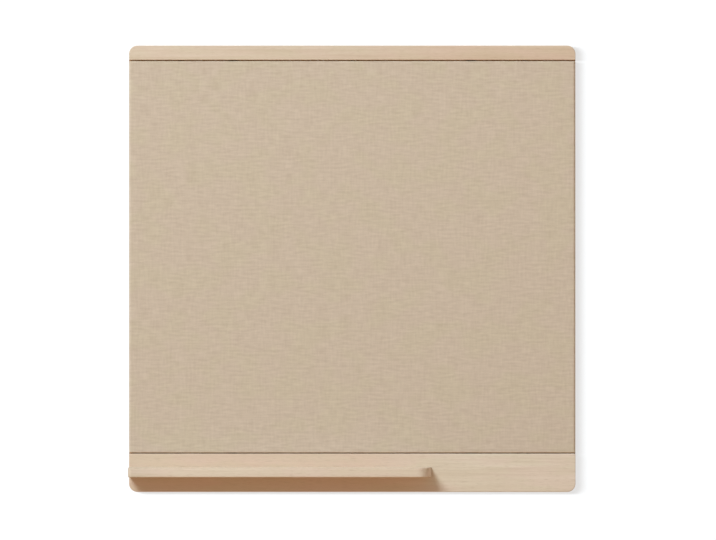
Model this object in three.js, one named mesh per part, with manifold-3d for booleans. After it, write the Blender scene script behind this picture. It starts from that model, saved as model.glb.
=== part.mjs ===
// A square notice board for a wall: a linen-covered pin panel between two oak rails, with an
// oak shelf on the left two thirds of the bottom rail. The panel is a soft board on a
// half-lapped softwood frame, and the linen goes round its edges and is turned onto the back.
// Millimetres. X runs to the right as seen from the front, the front faces -Y and Z is up.
// The wall is the plane y = 0. The origin lies on it, midway between the two wall screws.
import * as THREE from "three";
import { mergeVertices } from "three/addons/utils/BufferGeometryUtils.js";
import Module from "manifold-3d";

const wasm = await Module();
wasm.setup();

// The board as a whole
const boardWidth = 750;
const boardHeight = 750;
const boardDepth = 24;
const wallScrewDrop = 100; // from the board's top edge down to the wall screws
const fitGap = 0.3; // clearance between two pieces that seat on each other
const overrun = 6; // how far a cut runs on past the face that it enters by
const weldDistance = 0.0001; // vertices closer than this are one vertex

// The oak rails
const topRailHeight = 24.5;
const bottomRailHeight = 64.5;
const railCornerRadius = 14;
const railArris = 1.2;
const shadowJoint = 1; // the open line between a rail and the linen

// The shelf
const shelfLength = 508;
const shelfReach = 50; // out from the rails' faces
const shelfThickness = 16;
const shelfTopHeight = 42; // above the board's bottom edge
const shelfCornerRadius = 24;
const shelfArris = 2;
const tongueThickness = 7;
const tongueDepth = 8;
const tongueInset = 14; // the tongue stops short of each end of the shelf by this

// The linen, the soft board and the softwood frame behind it
const linenThickness = 0.8;
const hemWidth = 28;
const mitreSlit = 0.5; // between two hems, where they meet at a corner
const mitreStop = 5; // the slit ends this far from the board's side
const coreThickness = 9;
const coreSideArris = 3;
const coreEndArris = 0.9;
const frameThickness = 12;
const stileWidth = 60;
const battenWidth = 45;
const backBoardThickness = 3;
const backRebateWidth = 8;

// Dowels between the rails and the frame
const dowelDiameter = 6;
const dowelLength = 30;
const dowelChamfer = 1;
const dowelInset = 24; // from a stile in to the outer dowels

// Steel plates that draw the rails and the frame together
const joinerWidth = 16;
const joinerLength = 44;
const joinerThickness = 1.5;
const joinerInset = 175; // from the board's side
const joinerScrewInset = 9; // from the plate's end

// Keyhole hangers
const hangerWidth = 20;
const hangerLength = 56;
const hangerThickness = 2;
const hangerMargin = 2.5; // from the back board's rebate to the hanger
const hangerScrewInset = 7; // from the hanger's end
const keyHeadDiameter = 10;
const keySlotWidth = 5.4;
const keyDrop = 14; // from the slot's upper end down to the round hole's middle
const pocketWidth = 13;
const pocketDepth = 7;
const pocketMargin = 2; // room in the pocket above the slot and below the round hole

// Wall pads
const padDiameter = 12;
const padThickness = 3;
const padRim = 1;
const padInset = 30; // from the board's side
const lowerPadHeight = 18; // above the board's bottom edge

// Screws: shank and head diameters, head height, length and the length of the point
const shelfScrewShank = 3.5;
const shelfScrewHead = 7;
const shelfScrewHeadHeight = 2.2;
const shelfScrewLength = 40;
const shelfScrewInset = 60; // from the shelf's end to its outer screws
const plateScrewShank = 3;
const plateScrewHead = 5.8;
const plateScrewHeadHeight = 1.4;
const plateScrewLength = 12;
const boardScrewShank = 2.4;
const boardScrewHead = 5;
const boardScrewHeadHeight = 1.1;
const boardScrewLength = 8;
const screwPoint = 2.5;

// Facets
const cornerSteps = 10;
const arrisSteps = 3;
const sideArrisSteps = 6;
const turnSteps = 20;

// Levels, worked out from the sizes above
const boardTop = wallScrewDrop;
const boardBottom = boardTop - boardHeight;
const boardSide = boardWidth / 2;
const railBack = -padThickness;
const railFace = railBack - boardDepth;
const topJoint = boardTop - topRailHeight;
const bottomJoint = boardBottom + bottomRailHeight;
const panelTop = topJoint - shadowJoint;
const panelBottom = bottomJoint + shadowJoint;
const linenRoom = linenThickness + fitGap;
const coreFront = railFace + linenRoom;
const coreBack = coreFront + coreThickness;
const frameFront = coreBack + fitGap;
const frameBack = frameFront + frameThickness;
const hemFront = frameBack + fitGap;
const hemBack = hemFront + linenThickness;
const frameSide = boardSide - linenRoom;
const frameTop = panelTop - linenRoom;
const frameBottom = panelBottom + linenRoom;
const stileInside = frameSide - stileWidth;
const lapLevel = frameFront + frameThickness / 2;
const backBoardSide = stileInside + backRebateWidth - fitGap;
const backBoardTop = frameTop - battenWidth + backRebateWidth - fitGap;
const backBoardBottom = frameBottom + battenWidth - backRebateWidth + fitGap;
const backBoardFront = frameBack - backBoardThickness;
const middleHeight = (frameTop + frameBottom) / 2;
const shelfLeft = -boardSide;
const shelfRight = shelfLeft + shelfLength;
const shelfTop = boardBottom + shelfTopHeight;
const shelfMiddle = shelfTop - shelfThickness / 2;
const dowelX = stileInside - dowelInset;
const joinerX = boardSide - joinerInset;
const hangerX = stileInside + backRebateWidth + hangerMargin + hangerWidth / 2;
const hangerFront = frameBack + fitGap;
const hangerMiddle = -keyDrop / 2;

const oak = new THREE.MeshStandardMaterial({ color: 0xd8c0a2, roughness: 0.62, metalness: 0 });
const linen = new THREE.MeshStandardMaterial({ color: 0xc7b59c, roughness: 0.95, metalness: 0 });
const softBoard = new THREE.MeshStandardMaterial({ color: 0x9c7f5d, roughness: 0.95, metalness: 0 });
const softwood = new THREE.MeshStandardMaterial({ color: 0xdcc08e, roughness: 0.7, metalness: 0 });
const hardboard = new THREE.MeshStandardMaterial({ color: 0x7d5b3e, roughness: 0.75, metalness: 0 });
const beech = new THREE.MeshStandardMaterial({ color: 0xcfa67b, roughness: 0.65, metalness: 0 });
const zincSteel = new THREE.MeshStandardMaterial({ color: 0xb4b8bc, roughness: 0.35, metalness: 1 });
const padRubber = new THREE.MeshStandardMaterial({ color: 0x4a4a4a, roughness: 0.8, metalness: 0 });

const board = new THREE.Group();

// A closed geometry as a solid that can be joined and cut
function solidOf(geometry) {
  const bare = geometry.clone();
  bare.deleteAttribute("normal");
  bare.deleteAttribute("uv");
  const merged = mergeVertices(bare, weldDistance);
  const vertProperties = merged.getAttribute("position").array;
  const triVerts = Uint32Array.from(merged.index.array);
  return new wasm.Manifold(new wasm.Mesh({ numProp: 3, vertProperties, triVerts }));
}

// Adds a solid to the board as a named mesh
function addPiece(name, solid, material) {
  const { vertProperties, triVerts } = solid.getMesh();
  const geometry = new THREE.BufferGeometry();
  geometry.setAttribute("position", new THREE.BufferAttribute(vertProperties, 3));
  geometry.setIndex(new THREE.BufferAttribute(triVerts, 1));
  geometry.computeVertexNormals();
  const mesh = new THREE.Mesh(geometry, material);
  mesh.name = name;
  board.add(mesh);
}

const cutAway = (piece, rooms) => rooms.reduce((left, room) => left.subtract(room), piece);

// A block between two levels along each axis
function block([left, right], [front, back], [bottom, top]) {
  const geometry = new THREE.BoxGeometry(right - left, back - front, top - bottom);
  geometry.translate((left + right) / 2, (front + back) / 2, (bottom + top) / 2);
  return solidOf(geometry);
}

// An outline drawn in X and Z, carried from front to back. Both arrises are rounded by arris.
function plateOf(outline, front, back, arris = 0) {
  const geometry = new THREE.ExtrudeGeometry(outline, {
    depth: back - front - 2 * arris,
    curveSegments: cornerSteps,
    bevelEnabled: arris > 0,
    bevelThickness: arris,
    bevelSize: arris,
    bevelOffset: -arris,
    bevelSegments: arrisSteps,
  });
  geometry.rotateX(Math.PI / 2);
  geometry.translate(0, back - arris, 0);
  return solidOf(geometry);
}

// A piece turned about a line along Y at (x, z), from points of [radius, y]
function turned(points, x, z) {
  const profile = points.map(([radius, y]) => new THREE.Vector2(radius, y));
  const geometry = new THREE.LatheGeometry(profile, turnSteps);
  geometry.translate(x, 0, z);
  return solidOf(geometry);
}

// Rails: oak, with the board's outer corners rounded

// A rail's outline from its joint with the linen out to the board's edge
function railOutline(joint, edge) {
  const side = Math.sign(edge - joint);
  const bend = edge - side * railCornerRadius;
  const outline = new THREE.Shape();
  outline.moveTo(-boardSide, joint);
  outline.lineTo(boardSide, joint);
  outline.lineTo(boardSide, bend);
  const inner = boardSide - railCornerRadius;
  outline.absarc(inner, bend, railCornerRadius, 0, (side * Math.PI) / 2, side < 0);
  outline.lineTo(-inner, edge);
  outline.absarc(-inner, bend, railCornerRadius, (side * Math.PI) / 2, side * Math.PI, side < 0);
  outline.lineTo(-boardSide, joint);
  return outline;
}

// Dowels stand upright in the joints, half in the rail and half in the frame
const dowelPlaces = Object.entries({ left: -dowelX, middle: 0, right: dowelX });
const dowelLevel = (frameFront + frameBack) / 2;
const topDowelHeight = (topJoint + panelTop) / 2;
const bottomDowelHeight = (bottomJoint + panelBottom) / 2;

function dowel(x, joint, room) {
  const radius = dowelDiameter / 2 + room;
  const half = dowelLength / 2 + room;
  const chamfer = room > 0 ? 0 : dowelChamfer;
  const profile = [
    new THREE.Vector2(0, -half),
    new THREE.Vector2(radius - chamfer, -half),
    new THREE.Vector2(radius, chamfer - half),
    new THREE.Vector2(radius, half - chamfer),
    new THREE.Vector2(radius - chamfer, half),
    new THREE.Vector2(0, half),
  ];
  const points = chamfer > 0 ? profile : [profile[0], profile[2], profile[3], profile[5]];
  const geometry = new THREE.LatheGeometry(points, turnSteps);
  geometry.rotateX(Math.PI / 2);
  geometry.translate(x, dowelLevel, joint);
  return solidOf(geometry);
}

// Screws, all driven forwards from behind. Their heads are sunk so that the flat top lies at
// seat. With room above 0 the shape is the hole for the screw, open at the back.
function screw(kind, x, seat, z, room = 0) {
  const shank = kind.shank / 2 + room;
  const head = kind.head / 2 + room;
  const underHead = seat - kind.headHeight;
  const tip = seat - kind.length - room;
  const points = [
    [0, tip],
    [shank, tip + screwPoint],
    [shank, underHead],
    [head, kind.flatUnder ? underHead : seat],
  ];
  const top = room > 0 ? seat + overrun : seat;
  if (room > 0 || kind.flatUnder) points.push([head, top]);
  points.push([0, top]);
  return turned(points, x, z);
}

const shelfScrew = {
  shank: shelfScrewShank,
  head: shelfScrewHead,
  headHeight: shelfScrewHeadHeight,
  length: shelfScrewLength,
};
const plateScrew = {
  shank: plateScrewShank,
  head: plateScrewHead,
  headHeight: plateScrewHeadHeight,
  length: plateScrewLength,
};
const boardScrew = {
  shank: boardScrewShank,
  head: boardScrewHead,
  headHeight: boardScrewHeadHeight,
  length: boardScrewLength,
  flatUnder: true,
};

// Every screw: its name, kind, place and the level of the top of its head
const screws = [];

const shelfScrewXs = {
  left: shelfLeft + shelfScrewInset,
  middle: (shelfLeft + shelfRight) / 2,
  right: shelfRight - shelfScrewInset,
};
for (const [side, x] of Object.entries(shelfScrewXs)) {
  screws.push({ name: `shelf_screw_${side}`, kind: shelfScrew, x, seat: railBack, z: shelfMiddle });
}

// The joining plates lie on the rails' backs and bridge the joint to the frame
const joinerBack = railBack + fitGap + joinerThickness;
const joiners = [];
for (const [side, x] of Object.entries({ left: -joinerX, right: joinerX })) {
  joiners.push({ name: `top_joining_plate_${side}`, x, z: topDowelHeight, rail: 1 });
  joiners.push({ name: `bottom_joining_plate_${side}`, x, z: bottomDowelHeight, rail: -1 });
}
for (const { name, x, z, rail } of joiners) {
  const apart = rail * (joinerLength / 2 - joinerScrewInset);
  const place = { kind: plateScrew, x, seat: joinerBack };
  screws.push({ ...place, name: name.replace("plate", "screw_rail"), z: z + apart });
  screws.push({ ...place, name: name.replace("plate", "screw_frame"), z: z - apart });
}

// The keyhole hangers lie on the stiles' backs, beside the hem
const hangers = { left: -hangerX, right: hangerX };
for (const [side, x] of Object.entries(hangers)) {
  const seat = hangerFront + hangerThickness;
  const apart = hangerLength / 2 - hangerScrewInset;
  const place = { kind: plateScrew, x, seat };
  screws.push({ ...place, name: `hanger_screw_upper_${side}`, z: hangerMiddle + apart });
  screws.push({ ...place, name: `hanger_screw_lower_${side}`, z: hangerMiddle - apart });
}

// The back board's screws go through its edge into the rebate all round
const boardScrewInset = backRebateWidth / 2;
const boardScrewSeat = frameBack + boardScrewHeadHeight + fitGap;
const boardScrewX = backBoardSide - boardScrewInset;
const boardScrewTop = backBoardTop - boardScrewInset;
const boardScrewBottom = backBoardBottom + boardScrewInset;
const boardScrewRise = (backBoardTop - backBoardBottom) / 4; // clear of the battens' laps
const boardScrewPlaces = {
  top: [0, boardScrewTop],
  bottom: [0, boardScrewBottom],
  left_upper: [-boardScrewX, middleHeight + boardScrewRise],
  left_lower: [-boardScrewX, middleHeight - boardScrewRise],
  right_upper: [boardScrewX, middleHeight + boardScrewRise],
  right_lower: [boardScrewX, middleHeight - boardScrewRise],
};
for (const [side, [x, z]] of Object.entries(boardScrewPlaces)) {
  screws.push({ name: `back_board_screw_${side}`, kind: boardScrew, x, seat: boardScrewSeat, z });
}

// The holes that all screws need. A piece that a screw misses isn't changed by its hole.
const screwRooms = screws.map(({ kind, x, seat, z }) => screw(kind, x, seat, z, fitGap));
const topDowelRooms = dowelPlaces.map(([, x]) => dowel(x, topDowelHeight, fitGap));
const bottomDowelRooms = dowelPlaces.map(([, x]) => dowel(x, bottomDowelHeight, fitGap));

// The shelf: a slab with rounded front corners, and a thinner tongue along its back
function shelfSlab() {
  const back = railFace + shelfArris + overrun;
  const outline = new THREE.Shape();
  const front = railFace - shelfReach;
  const radius = shelfCornerRadius;
  const bend = front + radius;
  outline.moveTo(shelfLeft, back);
  outline.lineTo(shelfLeft, bend);
  outline.absarc(shelfLeft + radius, bend, radius, Math.PI, 1.5 * Math.PI, false);
  outline.lineTo(shelfRight - radius, front);
  outline.absarc(shelfRight - radius, bend, radius, 1.5 * Math.PI, 2 * Math.PI, false);
  outline.lineTo(shelfRight, back);
  outline.lineTo(shelfLeft, back);
  const geometry = new THREE.ExtrudeGeometry(outline, {
    depth: shelfThickness - 2 * shelfArris,
    curveSegments: cornerSteps,
    bevelThickness: shelfArris,
    bevelSize: shelfArris,
    bevelOffset: -shelfArris,
    bevelSegments: arrisSteps,
  });
  geometry.translate(0, 0, shelfTop - shelfThickness + shelfArris);
  const ends = [shelfLeft - overrun, shelfRight + overrun];
  const heights = [shelfTop - shelfThickness - overrun, shelfTop + overrun];
  return solidOf(geometry).subtract(block(ends, [railFace - fitGap, back + overrun], heights));
}

function shelfTongue(room) {
  return block(
    [shelfLeft + tongueInset - room, shelfRight - tongueInset + room],
    [railFace - fitGap - overrun, railFace + tongueDepth - fitGap + room],
    [shelfMiddle - tongueThickness / 2 - room, shelfMiddle + tongueThickness / 2 + room],
  );
}

addPiece("shelf", cutAway(shelfSlab().add(shelfTongue(0)), screwRooms), oak);

const topRail = plateOf(railOutline(topJoint, boardTop), railFace, railBack, railArris);
addPiece("top_rail", cutAway(topRail, [...topDowelRooms, ...screwRooms]), oak);

const bottomRail = plateOf(railOutline(bottomJoint, boardBottom), railFace, railBack, railArris);
const bottomRailRooms = [shelfTongue(fitGap), ...bottomDowelRooms, ...screwRooms];
addPiece("bottom_rail", cutAway(bottomRail, bottomRailRooms), oak);

// The frame: two stiles and three battens, each half-lapped over the full width of a stile

const battens = {
  top_batten: [frameTop - battenWidth, frameTop],
  middle_batten: [middleHeight - battenWidth / 2, middleHeight + battenWidth / 2],
  bottom_batten: [frameBottom, frameBottom + battenWidth],
};

function backBoard(room) {
  return block(
    [-backBoardSide - room, backBoardSide + room],
    [backBoardFront - room, frameBack + (room > 0 ? overrun : 0)],
    [backBoardBottom - room, backBoardTop + room],
  );
}

const keyTop = keySlotWidth / 2;
const keyBottom = -keyDrop - keyHeadDiameter / 2;

function hangerPocket(x) {
  return block(
    [x - pocketWidth / 2, x + pocketWidth / 2],
    [frameBack - pocketDepth, frameBack + overrun],
    [keyBottom - pocketMargin, keyTop + pocketMargin],
  );
}

// The front half of the stile is cut away where a batten laps it
function stile(side) {
  const inside = side < 0 ? [-frameSide, -stileInside] : [stileInside, frameSide];
  const across = [inside[0] - overrun, inside[1] + overrun];
  const laps = Object.values(battens).map(([bottom, top]) =>
    block(across, [frameFront - overrun, lapLevel + fitGap / 2], [bottom - fitGap, top + fitGap]),
  );
  const bar = block(inside, [frameFront, frameBack], [frameBottom, frameTop]);
  return cutAway(bar, [...laps, backBoard(fitGap), hangerPocket(side * hangerX), ...screwRooms]);
}

// The back half of a batten is cut away where it laps a stile
function batten([bottom, top], dowelRooms) {
  const behind = [lapLevel - fitGap / 2, frameBack + overrun];
  const beyond = [bottom - overrun, top + overrun];
  const shoulder = stileInside - fitGap;
  const laps = [
    block([-frameSide - overrun, -shoulder], behind, beyond),
    block([shoulder, frameSide + overrun], behind, beyond),
  ];
  const bar = block([-frameSide, frameSide], [frameFront, frameBack], [bottom, top]);
  return cutAway(bar, [...laps, backBoard(fitGap), ...dowelRooms, ...screwRooms]);
}

addPiece("left_stile", stile(-1), softwood);
addPiece("right_stile", stile(1), softwood);
addPiece("top_batten", batten(battens.top_batten, topDowelRooms), softwood);
addPiece("middle_batten", batten(battens.middle_batten, []), softwood);
addPiece("bottom_batten", batten(battens.bottom_batten, bottomDowelRooms), softwood);
addPiece("back_board", cutAway(backBoard(0), screwRooms), hardboard);

// The core and the linen: blocks whose front arrises are rounded, more at the sides than at
// the ends that meet the rails. inset is measured in from the outside of the linen.
function panelBlock(inset, back, sideArris, endArris) {
  const side = boardSide - inset;
  const front = railFace + inset;
  const top = panelTop - inset;
  const bottom = panelBottom + inset;
  const across = new THREE.Shape();
  across.moveTo(-side, back);
  across.lineTo(-side, front + sideArris);
  across.absarc(sideArris - side, front + sideArris, sideArris, Math.PI, 1.5 * Math.PI, false);
  across.lineTo(side - sideArris, front);
  across.absarc(side - sideArris, front + sideArris, sideArris, 1.5 * Math.PI, 2 * Math.PI, false);
  across.lineTo(side, back);
  across.lineTo(-side, back);
  const upright = new THREE.ExtrudeGeometry(across, {
    depth: top - bottom,
    curveSegments: sideArrisSteps,
    bevelEnabled: false,
  });
  upright.translate(0, 0, bottom);
  const along = new THREE.Shape();
  along.moveTo(back, bottom);
  along.lineTo(back, top);
  along.lineTo(front + endArris, top);
  along.absarc(front + endArris, top - endArris, endArris, 0.5 * Math.PI, Math.PI, false);
  along.lineTo(front, bottom + endArris);
  along.absarc(front + endArris, bottom + endArris, endArris, Math.PI, 1.5 * Math.PI, false);
  along.lineTo(back, bottom);
  const lying = new THREE.ExtrudeGeometry(along, {
    depth: boardWidth + 2 * overrun,
    curveSegments: arrisSteps,
    bevelEnabled: false,
  });
  lying.translate(0, 0, -boardSide - overrun);
  const axes = new THREE.Matrix4();
  axes.makeBasis(new THREE.Vector3(0, 1, 0), new THREE.Vector3(0, 0, 1), new THREE.Vector3(1, 0, 0));
  lying.applyMatrix4(axes);
  return solidOf(upright).intersect(solidOf(lying));
}

addPiece("pin_core", panelBlock(linenRoom, coreBack, coreSideArris, coreEndArris), softBoard);

// A thin diagonal cut between two hems, from their inner corner out towards the board's corner
function mitre(sideX, sideZ) {
  const length = Math.SQRT2 * (hemWidth - mitreStop + overrun);
  const geometry = new THREE.BoxGeometry(mitreSlit, linenThickness + fitGap, length);
  geometry.rotateY((sideX * sideZ * Math.PI) / 4);
  const centre = (hemWidth + mitreStop + overrun) / 2;
  const edge = sideZ > 0 ? panelTop : panelBottom;
  geometry.translate(sideX * (boardSide - centre), (hemFront + hemBack) / 2, edge - sideZ * centre);
  return solidOf(geometry);
}

function linenCover() {
  const outer = panelBlock(0, hemBack, coreSideArris + linenRoom, coreEndArris + linenRoom);
  const inner = panelBlock(linenThickness, hemFront, coreSideArris + fitGap, coreEndArris + fitGap);
  const window = block(
    [hemWidth - boardSide, boardSide - hemWidth],
    [frameBack, hemBack + overrun],
    [panelBottom + hemWidth, panelTop - hemWidth],
  );
  const mitres = [-1, 1].flatMap((x) => [-1, 1].map((z) => mitre(x, z)));
  const holes = [...topDowelRooms, ...bottomDowelRooms, ...screwRooms];
  const notches = Object.values(hangers).map((x) => {
    const room = roundEnded(x, hangerMiddle, hangerWidth + 2 * fitGap, hangerLength + 2 * fitGap);
    return plateOf(room, frameBack, hemBack + overrun);
  });
  return cutAway(outer, [inner, window, ...mitres, ...notches, ...holes]);
}

addPiece("linen_cover", linenCover(), linen);

// Dowels
for (const [side, x] of dowelPlaces) {
  addPiece(`top_dowel_${side}`, dowel(x, topDowelHeight, 0), beech);
  addPiece(`bottom_dowel_${side}`, dowel(x, bottomDowelHeight, 0), beech);
}

// A plate with round ends, upright about (x, z)
function roundEnded(x, z, width, length) {
  const radius = width / 2;
  const reach = length / 2 - radius;
  const outline = new THREE.Shape();
  outline.absarc(x, z + reach, radius, 0, Math.PI, false);
  outline.absarc(x, z - reach, radius, Math.PI, 2 * Math.PI, false);
  outline.closePath();
  return outline;
}

for (const { name, x, z } of joiners) {
  const outline = roundEnded(x, z, joinerWidth, joinerLength);
  const plate = plateOf(outline, joinerBack - joinerThickness, joinerBack);
  addPiece(name, cutAway(plate, screwRooms), zincSteel);
}

// A keyhole: a round hole that takes the wall screw's head, and a slot above it for the shank
function keyhole(x) {
  const head = keyHeadDiameter / 2;
  const slot = keySlotWidth / 2;
  const meet = Math.acos(slot / head);
  const path = new THREE.Path();
  path.absarc(x, 0, slot, 0, Math.PI, false);
  path.absarc(x, -keyDrop, head, Math.PI - meet, 2 * Math.PI + meet, false);
  path.closePath();
  return path;
}

for (const [side, x] of Object.entries(hangers)) {
  const outline = roundEnded(x, hangerMiddle, hangerWidth, hangerLength);
  outline.holes.push(keyhole(x));
  const plate = plateOf(outline, hangerFront, hangerFront + hangerThickness);
  addPiece(`keyhole_hanger_${side}`, cutAway(plate, screwRooms), zincSteel);
}

for (const { name, kind, x, seat, z } of screws) {
  addPiece(name, screw(kind, x, seat, z), zincSteel);
}

// Pads on the rails' backs keep the board off the wall
function pad(x, z) {
  const radius = padDiameter / 2;
  const seat = railBack + fitGap;
  const profile = [
    [0, seat],
    [radius, seat],
    [radius, -padRim],
    [radius - padRim, 0],
    [0, 0],
  ];
  return turned(profile, x, z);
}

const padX = boardSide - padInset;
for (const [side, x] of Object.entries({ left: -padX, right: padX })) {
  addPiece(`upper_wall_pad_${side}`, pad(x, boardTop - topRailHeight / 2), padRubber);
  addPiece(`lower_wall_pad_${side}`, pad(x, boardBottom + lowerPadHeight), padRubber);
}

export default board;
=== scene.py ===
# A square notice board on a wall: linen over a pin panel, between two pale oak rails, with a
# narrow oak shelf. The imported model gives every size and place. This script gives the pieces
# that show their fine surfaces, and every piece its finish. Metres, +Z up, front towards -Y.
import math

import bmesh
import bpy
import numpy as np
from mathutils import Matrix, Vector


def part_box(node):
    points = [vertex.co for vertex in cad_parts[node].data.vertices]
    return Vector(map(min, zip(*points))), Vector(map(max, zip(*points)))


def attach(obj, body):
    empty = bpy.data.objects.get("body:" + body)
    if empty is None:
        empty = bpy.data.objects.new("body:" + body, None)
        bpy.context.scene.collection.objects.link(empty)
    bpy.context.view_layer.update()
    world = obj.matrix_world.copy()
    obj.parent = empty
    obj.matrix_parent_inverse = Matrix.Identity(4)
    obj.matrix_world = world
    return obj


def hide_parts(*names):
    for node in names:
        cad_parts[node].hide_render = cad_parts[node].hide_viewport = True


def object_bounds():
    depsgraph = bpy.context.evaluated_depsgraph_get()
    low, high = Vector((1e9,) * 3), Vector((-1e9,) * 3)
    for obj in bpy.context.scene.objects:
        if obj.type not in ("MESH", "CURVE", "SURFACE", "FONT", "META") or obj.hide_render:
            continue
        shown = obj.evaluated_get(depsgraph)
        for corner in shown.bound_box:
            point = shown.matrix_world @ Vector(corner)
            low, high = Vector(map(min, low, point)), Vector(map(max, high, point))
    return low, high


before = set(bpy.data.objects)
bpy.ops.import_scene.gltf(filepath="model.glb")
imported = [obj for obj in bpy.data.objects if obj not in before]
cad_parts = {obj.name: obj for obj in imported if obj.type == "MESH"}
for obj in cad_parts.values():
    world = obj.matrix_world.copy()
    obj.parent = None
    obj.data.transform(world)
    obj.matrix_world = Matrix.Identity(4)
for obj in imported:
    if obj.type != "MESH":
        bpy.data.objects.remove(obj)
cadBounds = [list(corner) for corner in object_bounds()]
quarterTurn = math.pi / 2
millimetres = (1000, 1000, 1000)
weld = 1e-6  # vertices closer than this are one vertex
acrossAxis = 1 - 1e-5  # the least part along an axis of the normal of a face across it
fitGap = 0.0003  # between two pieces
print("frame loaded:", len(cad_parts), "nodes")


# Finishes

# One operator on a socket, and its reflected form for a number on the left. Each adds a Math node.
def operator(operation):
    def forward(value, other):
        return value.finish.math(operation, value, other)

    def reflected(value, other):
        return value.finish.math(operation, other, value)

    return forward, reflected


# A socket that can stand in a sum
class Value:
    def __init__(self, finish, socket):
        self.finish = finish
        self.socket = socket

    __add__, __radd__ = operator("ADD")
    __sub__, __rsub__ = operator("SUBTRACT")
    __mul__, __rmul__ = operator("MULTIPLY")
    __truediv__, __rtruediv__ = operator("DIVIDE")
    __pow__, __rpow__ = operator("POWER")
    __mod__, __rmod__ = operator("FLOORED_MODULO")


# A material, or the world's, and the few ways in which its nodes are made. What is the same all
# over it is set on the shader's own sockets.
class Finish:
    def __init__(self, name, fixed, world=False):
        self.owner = (bpy.data.worlds if world else bpy.data.materials).new(name)
        self.owner.use_nodes = True
        self.tree = self.owner.node_tree
        self.shader = self.tree.nodes["Background" if world else "Principled BSDF"]
        for socket, value in fixed.items():
            self.shader.inputs[socket].default_value = value

    def feed(self, socket, value):
        if isinstance(value, Value):
            self.tree.links.new(value.socket, socket)
        elif socket.type == "RGBA":
            socket.default_value = (*value, 1)
        else:
            socket.default_value = value

    # Adds a node of a type: its settings first, then the values or links of its sockets
    def node(self, kind, settings, sockets, output=0):
        made = self.tree.nodes.new(kind)
        for name, value in settings.items():
            if name == "stops":
                for stop, (place, colour) in zip(self.stopsOf(made, len(value)), value):
                    stop.position = place
                    stop.color = (*colour, 1)
            else:
                setattr(made, name, value)
        for name, value in sockets.items():
            self.feed(made.inputs[name], value)
        return Value(self, made.outputs[output])

    def stopsOf(self, ramp, count):
        for _ in range(count - len(ramp.color_ramp.elements)):
            ramp.color_ramp.elements.new(0.5)
        return ramp.color_ramp.elements

    def math(self, operation, *terms):
        return self.node("ShaderNodeMath", {"operation": operation}, dict(enumerate(terms)))

    # A place on the piece in millimetres, turned and moved by shift
    def place(self, shift=(0, 0, 0), turn=(0, 0, 0)):
        start = self.node("ShaderNodeTexCoord", {}, {}, "Object")
        sockets = {"Vector": start, "Location": shift, "Rotation": turn, "Scale": millimetres}
        return self.node("ShaderNodeMapping", {}, sockets)

    def scaled(self, place, scale):
        return self.node("ShaderNodeMapping", {}, {"Vector": place, "Scale": scale})

    def part(self, place, axis):
        return self.node("ShaderNodeSeparateXYZ", {}, {"Vector": place}, axis)

    # Noise has its middle at 0.5
    def noise(self, place, scale, detail=2, roughness=0.5):
        sockets = {"Vector": place, "Scale": scale, "Detail": detail, "Roughness": roughness}
        return self.node("ShaderNodeTexNoise", {}, sockets, "Fac")

    # Noise with a scale of its own along each axis, which draws it out
    def drawn(self, place, scales, detail=2, roughness=0.5, scale=1):
        return self.noise(self.scaled(place, scales), scale, detail, roughness)

    # Rises smoothly from 0 to 1 while value goes from low to high
    def band(self, value, low, high):
        settings = {"interpolation_type": "SMOOTHSTEP"}
        return self.node("ShaderNodeMapRange", settings, {0: value, 1: low, 2: high})

    def mixed(self, factor, first, second):
        sockets = {0: factor, 6: first, 7: second}
        return self.node("ShaderNodeMix", {"data_type": "RGBA"}, sockets, 2)

    # A colour multiplied by a tint that goes from the first to the second
    def tinted(self, body, factor, first, second):
        tint = self.mixed(factor, first, second)
        return self.node("ShaderNodeVectorMath", {"operation": "MULTIPLY"}, {0: body, 1: tint})

    # 1 for a ray from the camera, or one that comes by way of metal or glass
    def shownRay(self):
        shown = 0
        for kind in ("Camera", "Glossy", "Transmission"):
            ray = self.node("ShaderNodeLightPath", {}, {}, f"Is {kind} Ray")
            shown = self.math("MAXIMUM", shown, ray)
        return shown

    def paint(self, sockets):
        for name, value in sockets.items():
            self.feed(self.shader.inputs[name], value)
        return self.owner

    # A surface's colour and roughness, and bumps of a height times the relief
    def surface(self, body, rough, height, relief):
        normal = self.node("ShaderNodeBump", {}, {"Height": height, "Distance": relief})
        return self.paint({"Base Color": body, "Roughness": rough, "Normal": normal})


# Wood whose fibres run along X or Z. The growth rings are circles round the heart, a line along the
# fibres: a ring's number is the distance from the heart, with a slow wander, divided by the ring
# width. The tone rises through a ring and drops at its end. Pores and fibres are noise drawn out
# along the fibres. The colour's tint and the strength of the figure go smoothly from the left to
# the right, over a span of X. A slow noise turns the hue a little. A shelf's top is painted darker,
# from one height to another: painted shade, which holds down the light that falls on the top face.
plainDrift = {"left": (1, 1, 1), "right": (1, 1, 1), "figure": (1, 1), "span": (-300, 300)}
woodNoise = {  # scales along and across the fibres, detail, roughness
    "wander": ((0.0022, 0.012, 0.012), 3),
    "near": ((0.012, 0.07, 0.07),),
    "fibre": ((0.02, 1.3, 1.3), 3, 0.6),
    "strand": ((0.006, 0.22, 0.22), 3),
    "pore": ((0.07, 2.4, 2.4),),
    "patch": ((0.004, 0.02, 0.02),),
    "hue": ((0.012, 0.06, 0.06),),
}
woodGrain = {
    "nearWander": 3,
    "ringPower": 2.2,
    "ringEnd": 0.93,
    "poreBand": 0.1,
    "latePores": 0.7,  # the share of the pores that late wood closes
    "tone": 0.35,
    "hueBand": (0.35, 0.65),
    "pink": (1.012, 0.992, 1.008),
    "straw": (0.99, 1.006, 0.985),
    "heights": (0.5, 0.8, 0.15),  # of fibres, pores and late wood
    "roughShares": (0.12, 0.1),  # of fibres and pores
}


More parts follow.
